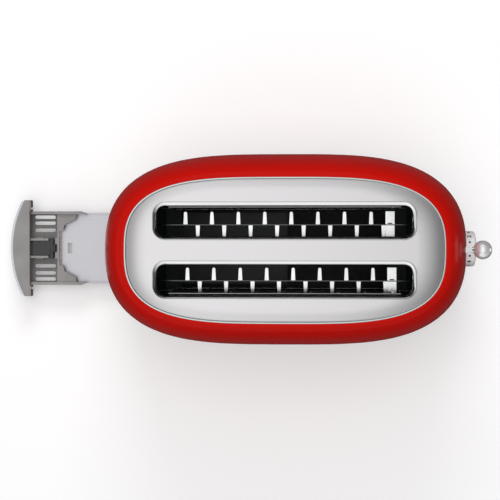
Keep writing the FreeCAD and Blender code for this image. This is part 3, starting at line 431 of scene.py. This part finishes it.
def add_collar(node, name):
    """A collar with a crisp sloping lip between two fine rounded edges."""
    low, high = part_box(node)
    points, faces = [], []
    middle_y = (low[1] + high[1]) / 2
    for inset, drop in COLLAR_PROFILE:
        for x, y in outline(low, high, inset * MM):
            fall = drop
            if STEEP_FROM < drop < COLLAR_PROFILE[-1][1]:
                side = (middle_y - y) / (high[1] - middle_y - SIDE_MARGIN)
                fall *= 1 + STEEPER * min(1, max(0, side))
            points.append((x, y, high[2] - fall * MM))
    count = len(points) // len(COLLAR_PROFILE)
    for ring in range(len(COLLAR_PROFILE)):
        after_ring = (ring + 1) % len(COLLAR_PROFILE)
        for spot in range(count):
            after = (spot + 1) % count
            faces.append((ring * count + spot, ring * count + after,
                          after_ring * count + after, after_ring * count + spot))
    collar = add_mesh(name, points, faces, "polished_steel")
    collar.data.set_sharp_from_angle(angle=SHARP_EDGE)
    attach(collar, "housing")
    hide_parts(node)


# ---------------------------------------------------------------- dial marks

DIGITS = 6
MARK_STEP = 45  # degrees from one number to the next, with a dot halfway
DOT_RADIUS = 1.2 * MM
MARK_HEIGHT = 0.12 * MM
MARK_LIFT = 0.04 * MM


def add_dial_marks():
    """Plain numbers and dots round the rim of the dial, standing a hair proud."""
    low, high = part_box("dial_knob")
    radius = (high[1] - low[1]) / 2
    centre = ((low[1] + high[1]) / 2, (low[2] + high[2]) / 2)
    middle_x = low[0] + 0.55 * (high[0] - low[0])
    marks = []
    for number in range(1, DIGITS + 1):
        angle = math.radians(MARK_STEP * (3 - number))
        marks.append(wrap(number_mesh(str(number)), radius, centre, middle_x, angle))
    for step in range(DIGITS):
        angle = math.radians(MARK_STEP * (2.5 - step))
        marks.append(wrap(disc_mesh(DOT_RADIUS), radius, centre, middle_x, angle))
    for mark in marks:
        scene.collection.objects.link(mark)
    piece = join(marks, "dial_marks")
    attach(piece, "dial")


def number_mesh(text):
    """A number as a thin solid, centred on the origin, face up."""
    curve = bpy.data.curves.new("number", "FONT")
    curve.body = text
    curve.size = 6.4 * MM
    curve.extrude = MARK_HEIGHT
    curve.offset = 0.18 * MM
    curve.resolution_u = 6
    curve.align_x = "CENTER"
    curve.align_y = "CENTER"
    holder = bpy.data.objects.new("number", curve)
    mesh = bpy.data.meshes.new_from_object(holder)
    bpy.data.objects.remove(holder)
    return mesh


def disc_mesh(radius, sides=24):
    """A dot as a thin solid, centred on the origin, face up."""
    points, faces = [], []
    for z in (-MARK_HEIGHT, MARK_HEIGHT):
        for side in range(sides):
            angle = 2 * math.pi * side / sides
            points.append((radius * math.cos(angle), radius * math.sin(angle), z))
    for side in range(sides):
        after = (side + 1) % sides
        faces.append((side, after, sides + after, sides + side))
    faces.append(tuple(reversed(range(sides))))
    faces.append(tuple(range(sides, 2 * sides)))
    mesh = bpy.data.meshes.new("dot")
    mesh.from_pydata(points, [], faces)
    return mesh


def wrap(mesh, radius, centre, middle_x, angle):
    """Bend a flat mark round the dial: its top points at the body, its right turns to +Y."""
    for vertex in mesh.vertices:
        right, top, out = vertex.co
        turn = angle + right / radius
        reach = radius + out + MARK_LIFT
        vertex.co = (middle_x - top, centre[0] + reach * math.sin(turn),
                     centre[1] + reach * math.cos(turn))
    mesh.materials.clear()
    mesh.materials.append(MATERIALS["dial_ink"])
    return bpy.data.objects.new("mark", mesh)


# ---------------------------------------------------------------- set

FLOOR_HALF = 6.0


def add_floor():
    """A plain pale floor. The camera sees it pale, and the metal's reflections see it dim."""
    material, tree, shader = new_material("floor", (0.86, 0.86, 0.86), 0.9)
    shader.inputs["Specular IOR Level"].default_value = 0.0
    shader.inputs["Emission Color"].default_value = (1.0, 0.995, 0.99, 1)
    shader.inputs["Emission Strength"].default_value = 0.22
    dim = tree.nodes.new("ShaderNodeBsdfDiffuse")
    dim.inputs["Color"].default_value = (0.10, 0.10, 0.10, 1)
    mix = tree.nodes.new("ShaderNodeMixShader")
    path = tree.nodes.new("ShaderNodeLightPath")
    tree.links.new(path.outputs["Is Camera Ray"], mix.inputs["Fac"])
    tree.links.new(dim.outputs["BSDF"], mix.inputs[1])
    tree.links.new(shader.outputs["BSDF"], mix.inputs[2])
    tree.links.new(mix.outputs["Shader"], tree.nodes["Material Output"].inputs["Surface"])
    mesh = bpy.data.meshes.new("floor")
    corners = [(x * FLOOR_HALF, y * FLOOR_HALF, 0) for x, y in ((-1, -1), (1, -1), (1, 1), (-1, 1))]
    mesh.from_pydata(corners, [], [(0, 1, 2, 3)])
    mesh.materials.append(material)
    floor = bpy.data.objects.new("floor", mesh)
    scene.collection.objects.link(floor)


def ramp_of(tree, source, stops):
    """A grey ramp through (value, grey) stops, for values from -1 to 1."""
    span = tree.nodes.new("ShaderNodeMapRange")
    span.inputs["From Min"].default_value = -1.0
    span.inputs["From Max"].default_value = 1.0
    tree.links.new(source, span.inputs["Value"])
    ramp = tree.nodes.new("ShaderNodeValToRGB")
    tree.links.new(span.outputs["Result"], ramp.inputs["Fac"])
    elements = ramp.color_ramp.elements
    while len(elements) > 1:
        elements.remove(elements[-1])
    for index, (value, grey) in enumerate(stops):
        stop = elements[0] if index == 0 else elements.new((value + 1) / 2)
        stop.position = (value + 1) / 2
        stop.color = (grey, grey, grey * 1.005, 1)
    return ramp.outputs["Color"]


# Brightness of the ceiling against a direction's X, the share of that against its Y, and the
# brightness of the walls against how far a direction faces the bright wall.
CEILING = ((-1.0, 0.3), (-0.55, 0.25), (-0.507, 0.30), (-0.474, 0.52), (-0.4, 0.87),
           (-0.33, 0.98), (0.02, 1.0), (0.15, 0.70), (0.235, 0.56), (0.355, 0.47), (0.43, 0.35),
           (0.5, 0.17), (0.6, 0.12))
SIDES = ((-1.0, 0.8), (-0.5, 0.82), (-0.2, 1.0), (0.2, 1.0), (0.5, 0.82), (1.0, 0.8))
WALLS = ((-1.0, 0.008), (-0.4, 0.06), (0.45, 0.7), (1.0, 1.0))
BRIGHT_WALL = (-0.447, -0.894, 0.0)
WALL_TOP = 0.25  # a direction's Z where the walls end
CEILING_FROM = 0.5  # and where the ceiling has taken over
BACKDROP = (0.93, 0.93, 0.93)
WORLD_STRENGTH = 1.08


def add_world():
    """A soft studio: a bright ceiling that fades to the ends, over walls lit on the -Y side.

    The camera itself sees a plain pale backdrop.
    """
    world = bpy.data.worlds.new("studio")
    scene.world = world
    world.use_nodes = True
    tree = world.node_tree
    background = tree.nodes["Background"]
    coordinates = tree.nodes.new("ShaderNodeTexCoord")
    split = tree.nodes.new("ShaderNodeSeparateXYZ")
    tree.links.new(coordinates.outputs["Generated"], split.inputs["Vector"])
    ceiling = ramp_of(tree, split.outputs["X"], CEILING)
    facing = tree.nodes.new("ShaderNodeVectorMath")
    facing.operation = "DOT_PRODUCT"
    facing.inputs[1].default_value = BRIGHT_WALL
    tree.links.new(coordinates.outputs["Generated"], facing.inputs[0])
    walls = ramp_of(tree, facing.outputs["Value"], WALLS)
    height = tree.nodes.new("ShaderNodeMapRange")
    height.interpolation_type = "SMOOTHSTEP"
    height.inputs["From Min"].default_value = WALL_TOP
    height.inputs["From Max"].default_value = CEILING_FROM
    tree.links.new(split.outputs["Z"], height.inputs["Value"])
    mix = tree.nodes.new("ShaderNodeMixRGB")
    tree.links.new(height.outputs["Result"], mix.inputs["Fac"])
    over = tree.nodes.new("ShaderNodeVectorMath")
    over.operation = "MULTIPLY"
    tree.links.new(ceiling, over.inputs[0])
    tree.links.new(ramp_of(tree, split.outputs["Y"], SIDES), over.inputs[1])
    tree.links.new(walls, mix.inputs["Color1"])
    tree.links.new(over.outputs["Vector"], mix.inputs["Color2"])
    seen = tree.nodes.new("ShaderNodeMixRGB")
    seen.inputs["Color2"].default_value = (*BACKDROP, 1)
    path = tree.nodes.new("ShaderNodeLightPath")
    tree.links.new(path.outputs["Is Camera Ray"], seen.inputs["Fac"])
    tree.links.new(mix.outputs["Color"], seen.inputs["Color1"])
    tree.links.new(seen.outputs["Color"], background.inputs["Color"])
    background.inputs["Strength"].default_value = WORLD_STRENGTH


def add_light(name, place, target, width, height, power, seen_in_gloss):
    """A soft rectangle of light, in watts, that the camera doesn't see."""
    lamp = bpy.data.lights.new(name, "AREA")
    lamp.shape = "RECTANGLE"
    lamp.size, lamp.size_y = width, height
    lamp.energy = power
    thing = bpy.data.objects.new(name, lamp)
    scene.collection.objects.link(thing)
    thing.location = place
    thing.rotation_mode = "QUATERNION"
    thing.rotation_quaternion = (Vector(target) - Vector(place)).to_track_quat("-Z", "Y")
    thing.visible_camera = False
    thing.visible_glossy = seen_in_gloss


CAMERA_AT = (11.6, 16.5, 1400)  # mm from the middle of the body
CAMERA_AIM = (-38.4, -1.0, 100)
LENS = 85.5


def add_camera():
    """Straight above the toaster and a little off its middle, as in a plan photograph."""
    data = bpy.data.cameras.new("camera")
    data.sensor_width = 36.0
    data.lens = LENS
    data.clip_start, data.clip_end = 0.05, 50.0
    camera = bpy.data.objects.new("camera", data)
    scene.collection.objects.link(camera)
    place = Vector((BODY_X, 0, 0)) + Vector(CAMERA_AT) * MM
    target = Vector((BODY_X, 0, 0)) + Vector(CAMERA_AIM) * MM
    back = (place - target).normalized()
    side = Vector((0, 1, 0)).cross(back).normalized()
    up = back.cross(side)
    rotation = Matrix((side, up, back)).transposed()
    camera.matrix_world = Matrix.Translation(place) @ rotation.to_4x4()
    scene.camera = camera


scene.view_settings.view_transform = "Standard"
add_camera()
add_world()
add_light("key", (BODY_X - 0.1, 2.2, 1.5), (BODY_X, 0, 0.1), 1.3, 0.8, 22, False)
add_light("top", (BODY_X, 0.2, 2.4), (BODY_X, 0, 0), 2.0, 2.0, 17, False)
add_light("low", (BODY_X + 0.55, 0.0, 0.06), (BODY_X + 0.2, 0, 0.16), 0.08, 0.25, 0.12, True)
add_floor()
dress_nodes()
add_springs()
add_collar("slot_collar_rear", "collar_rear")
add_collar("slot_collar_front", "collar_front")
add_dial_marks()
